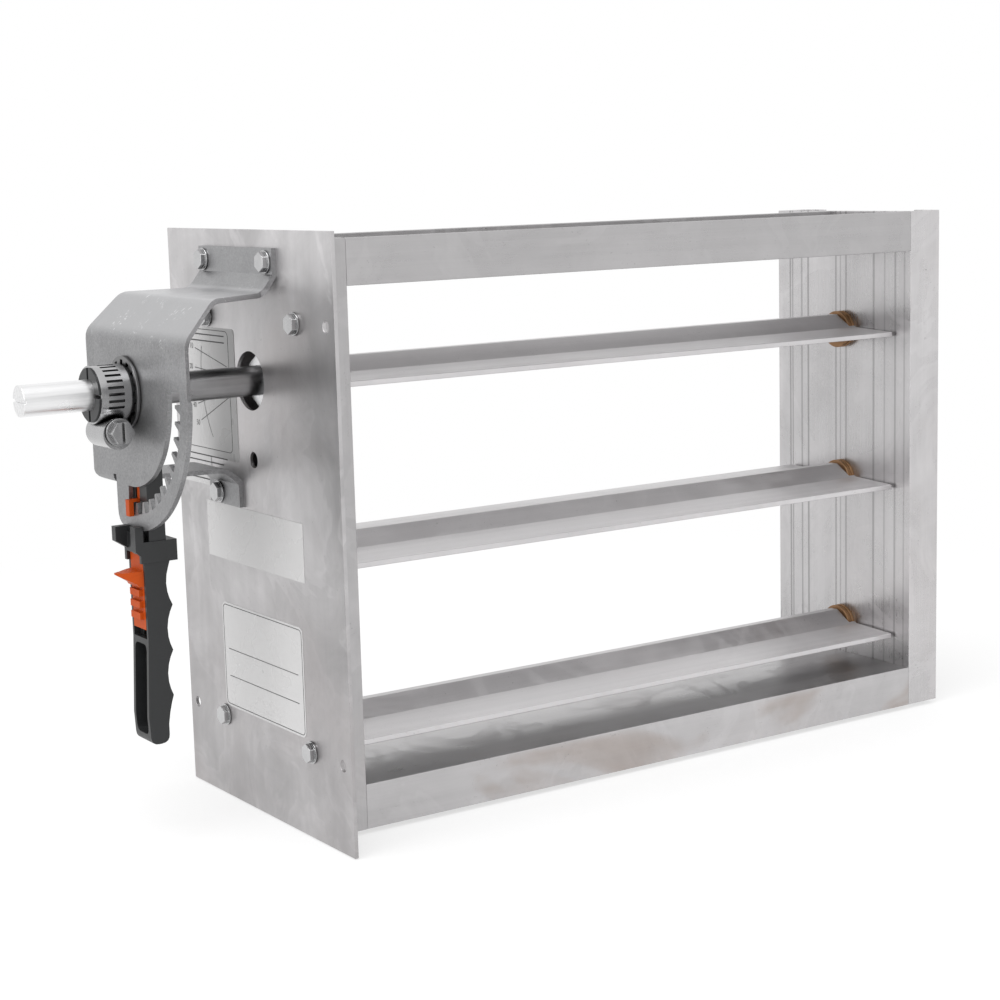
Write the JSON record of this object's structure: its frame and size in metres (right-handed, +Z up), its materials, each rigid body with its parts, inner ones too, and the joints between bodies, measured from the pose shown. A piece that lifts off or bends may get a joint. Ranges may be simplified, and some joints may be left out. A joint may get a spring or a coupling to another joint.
{
  "type": "balancing damper",
  "caption": "Rectangular duct balancing damper: aluminium channel frame, parallel blades on axles, side mounting plate, toothed quadrant with a latching plastic handle",
  "frame": {"origin": "centre of the four duct screw holes, on the mounting plate's seating face", "axes": "+X into the duct across the damper, from the plate to the far channel; +Y along the airflow from the front; +Z up"},
  "size_m": [0.4591, 0.148, 0.253],
  "materials": {
    "mill_aluminium": "satin",
    "galvanised_sheet": "satin",
    "zinc_steel": "gloss",
    "shaft_steel": "satin",
    "bronze": "matte",
    "dark_plastic": "matte",
    "orange_plastic": "satin",
    "label_film": "gloss"
  },
  "bodies": {
    "frame": {"mounting_plate": "mill_aluminium", "left_channel": "mill_aluminium", "right_channel": "mill_aluminium", "top_rail": "mill_aluminium", "bottom_rail": "mill_aluminium", "plate_screws": "zinc_steel", "bracket_screws": "zinc_steel", "position_label": "label_film", "wide_label": "label_film", "lower_label": "label_film", "left_bearings": "bronze", "right_bearings": "bronze", "quadrant_bracket": "galvanised_sheet"},
    "drive": {"drive_shaft": "shaft_steel", "top_blade": "mill_aluminium", "handle": "dark_plastic", "retaining_ring": "zinc_steel", "clamp_band": "zinc_steel", "clamp_housing": "zinc_steel", "clamp_screw": "zinc_steel", "top_crank": "galvanised_sheet", "top_crank_pin": "zinc_steel"},
    "middle": {"middle_axle": "shaft_steel", "middle_blade": "mill_aluminium", "middle_crank": "galvanised_sheet", "middle_crank_pin": "zinc_steel"},
    "bottom": {"bottom_axle": "shaft_steel", "bottom_blade": "mill_aluminium", "bottom_crank": "galvanised_sheet", "bottom_crank_pin": "zinc_steel"},
    "link": {"tie_bar": "galvanised_sheet"},
    "trigger_body": {"trigger": "orange_plastic", "trigger_spring": "zinc_steel"}
  },
  "joints": [
    {"name": "drive_turn", "type": "hinge", "parent": "frame", "child": "drive", "pos_m": [0, 0, 0.0632], "axis": [-1, 0, 0], "range_deg": [0, 90]},
    {"name": "middle_turn", "type": "hinge", "parent": "frame", "child": "middle", "pos_m": [0, 0, -0.0133], "axis": [-1, 0, 0], "range_deg": [0, 90]},
    {"name": "bottom_turn", "type": "hinge", "parent": "frame", "child": "bottom", "pos_m": [0, 0, -0.0898], "axis": [-1, 0, 0], "range_deg": [0, 90]},
    {"name": "link_turn", "type": "hinge", "parent": "drive", "child": "link", "pos_m": [0, -0.01414, 0.04906], "axis": [-1, 0, 0], "range_deg": [-90, 0]},
    {"name": "trigger_slide", "type": "slide", "parent": "drive", "child": "trigger_body", "axis": [0, 0, 1], "range_m": [-0.0035, 0], "stiffness_N_per_m": 150, "springref_m": -0.006, "deforming": ["trigger_spring"]}
  ],
  "couplings": [
    {"joint": "middle_turn", "follows": "drive_turn", "ratio": 1},
    {"joint": "bottom_turn", "follows": "drive_turn", "ratio": 1},
    {"joint": "link_turn", "follows": "drive_turn", "ratio": -1}
  ]
}
